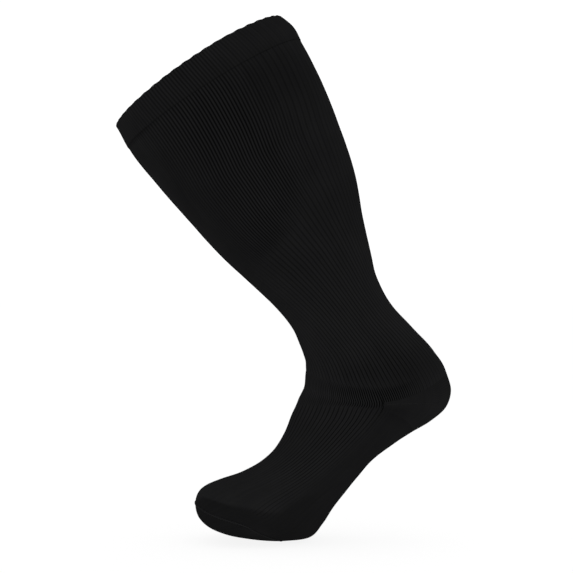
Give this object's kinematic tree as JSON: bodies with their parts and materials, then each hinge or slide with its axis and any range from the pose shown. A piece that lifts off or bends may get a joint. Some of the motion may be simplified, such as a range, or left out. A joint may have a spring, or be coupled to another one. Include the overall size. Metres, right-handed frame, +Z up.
{
  "type": "compression stocking",
  "caption": "Knee-high compression stocking with a closed toe, a turned ribbed welt, a graduated ribbed leg and plain heel and toe pockets, kept hollow in its worn shape.",
  "frame": {"origin": "middle of the welt, on the leg's axis and in the mirror plane, where the calf holds the stocking up", "axes": "+Z up in the worn, tiptoe pose; -X where the toes point; Y from side to side, with the mirror plane at Y = 0"},
  "size_m": [0.3007, 0.17, 0.4701],
  "materials": {
    "welt_knit": "dull ribbed knit of nylon and elastane, turned double",
    "ribbed_knit": "dull fine ribbed knit of nylon and elastane",
    "plain_knit": "dull plain knit of nylon and elastane"
  },
  "bodies": {
    "root": {"welt": "welt_knit", "leg": "ribbed_knit", "heel": "plain_knit", "foot": "ribbed_knit", "toe": "plain_knit"}
  },
  "joints": []
}
